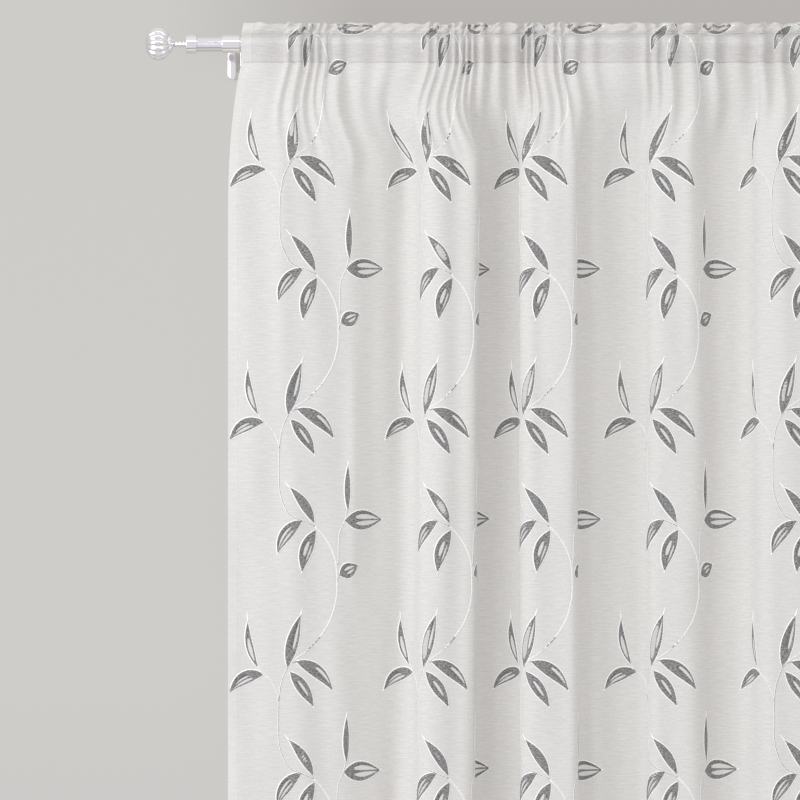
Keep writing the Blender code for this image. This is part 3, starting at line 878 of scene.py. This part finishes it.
# %% Brackets
def bracket_bmesh():
    """The sleeve, the arm and the wall plate, round x = 0."""
    side = [*rim(-16.0, 16.75, -1, 0.8), *rim(16.0, 16.75, 1, 0.8)[::-1]]
    bm = place_bmesh(turned_bmesh([(-16.0, 14.3), *side, (16.0, 14.3), (-16.0, 14.3)], 96), 0.0)
    arm = bmesh.ops.create_cone(bm, cap_ends=True, segments=48, radius1=0.0070, radius2=0.0095, depth=0.081)
    arm = arm["verts"]
    for vert in arm:
        vert.co = (vert.co.x, vert.co.z - 0.0435, vert.co.y)
    plate = bmesh.ops.create_uvsphere(bm, u_segments=64, v_segments=33, radius=0.0125)["verts"]
    for vert in plate:
        out = max(0.0, -vert.co.y) * 0.0046 / 0.0125 + (0.0014 if vert.co.y < 0.0001 else 0.0)
        vert.co = (vert.co.x, -out, vert.co.z + math.copysign(0.0275, vert.co.z) - 0.017)
    bmesh.ops.remove_doubles(bm, verts=plate, dist=0.00001)
    bmesh.ops.recalc_face_normals(bm, faces=bm.faces)
    return bm


for side, end in (("left", LEFT_X), ("right", RIGHT_X)):
    bm = bracket_bmesh()
    bmesh.ops.translate(bm, verts=bm.verts, vec=(end, 0.0, 0.0))
    holder = add_piece(f"bracket_casting_{side}", bm, chrome, sharp_angle=40)
    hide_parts(f"bracket_{side}")

# %% [markdown]

# %% [markdown]
# The room is only hinted at by the light that comes from each direction. A photographed room could be
# wrapped round the curtain instead, but polished metal would then show someone's real room. Behind is a
# soft grey with painted shade that makes it a little darker over the curtain, as the wall in the photo is.
# In front is a pale room with a dark line low down, such as the foot of a wall, which gives the tube its
# thin brown line.

# %% Surround
scene = bpy.context.scene
scene.view_settings.view_transform = "Standard"
world = bpy.data.worlds.new("soft grey room")
world.use_nodes = True
scene.world = world
tree = world.node_tree
toward = add_node(tree, "ShaderNodeTexCoord").outputs["Generated"]
toward = add_node(tree, "ShaderNodeSeparateXYZ", [("Vector", toward)])


def by_height(*stops):
    """A colour that goes with a direction's height, from (its height from -1 to 1, colour) stops."""
    shade = add_node(tree, "ShaderNodeValToRGB", [("Fac", ramp(tree, toward.outputs["Z"], -1.0, 1.0))])
    for number, (height, colour) in enumerate(stops):
        at = (height + 1) / 2
        element = shade.color_ramp.elements[number] if number < 2 else shade.color_ramp.elements.new(at)
        element.position = at
        element.color = linear(colour)
    return shade.outputs[0]


def blended(first, second, share):
    """The first colour, going over to the second by a share."""
    node = add_node(tree, "ShaderNodeMix", [("Factor", share)], data_type="RGBA")
    tree.links.new(first, node.inputs[6])
    tree.links.new(second, node.inputs[7])
    return node.outputs[2]


plain_side = by_height((-1.0, "#c9c6c2"), (-0.28, "#c4c2c3"), (-0.08, "#cecdca"), (0.12, "#cdccc9"),
                       (1.0, "#dddddd"))
# A darker band just over the curtain's top: painted shade on the backdrop behind it.
painted_shade_over_curtain = by_height((-1.0, "#c9c6c2"), (0.098, "#cdccc9"), (0.108, "#b8b4b1"), (0.20, "#c4c2c0"),
                         (1.0, "#dddddd"))
in_front = by_height((-0.915, "#efece8"), (-0.875, "#7d6f62"), (-0.84, "#7d6f62"), (-0.79, "#e4e3e7"),
                     (0.38, "#e4e3e7"), (0.62, "#f3f2f0"))
behind = blended(plain_side, painted_shade_over_curtain, ramp(tree, toward.outputs["X"], -0.07, -0.01))
seen = blended(in_front, behind, ramp(tree, toward.outputs["Y"], -0.3, 0.3))
tree.links.new(seen, tree.nodes["Background"].inputs["Color"])
print(world.name, len(tree.nodes), "nodes")

# %% [markdown]
# A large soft light from the front left gives the folds their shading, a weaker one fills from the right,
# and a long narrow one above gives the pole the thin bright line that it has in the photo. One behind
# stands for the daylight on the curtain's back, which only shows from that side.

# %% Lights and camera
def area_light(name, place, target, size, power, colour="#ffffff"):
    """A rectangular area light at place that faces the target."""
    light = bpy.data.lights.new(name, "AREA")
    light.shape = "RECTANGLE"
    light.size, light.size_y = size
    light.energy = power
    light.color = linear(colour)[:3]
    lamp = bpy.data.objects.new(name, light)
    lamp.location = place
    lamp.rotation_euler = (Vector(target) - Vector(place)).to_track_quat("-Z", "Y").to_euler()
    lamp.visible_camera = False
    scene.collection.objects.link(lamp)
    return lamp


hang_middle = (MIDDLE_X, AXIS_Y, -0.9)
area_light("key", (-3.2, -3.1, -0.3), hang_middle, (3.0, 2.6), 116, "#f8faff")
area_light("fill", (3.2, -3.6, -0.2), hang_middle, (2.0, 2.4), 8)
area_light("strip", (MIDDLE_X, -2.5, 1.45), (MIDDLE_X, AXIS_Y, 0.0), (3.4, 0.3), 10)
area_light("back", (4.5, 3.5, 0.6), hang_middle, (2.2, 2.2), 80, "#fbfaf5")

camera_data = bpy.data.cameras.new("camera")
camera_data.lens = 150.0
camera_data.sensor_width = 36.0
camera = bpy.data.objects.new("camera", camera_data)
camera.location = (0.3038, -6.1, -0.6408)
camera.rotation_euler = (math.pi / 2, 0.0, 0.0)
scene.collection.objects.link(camera)
scene.camera = camera
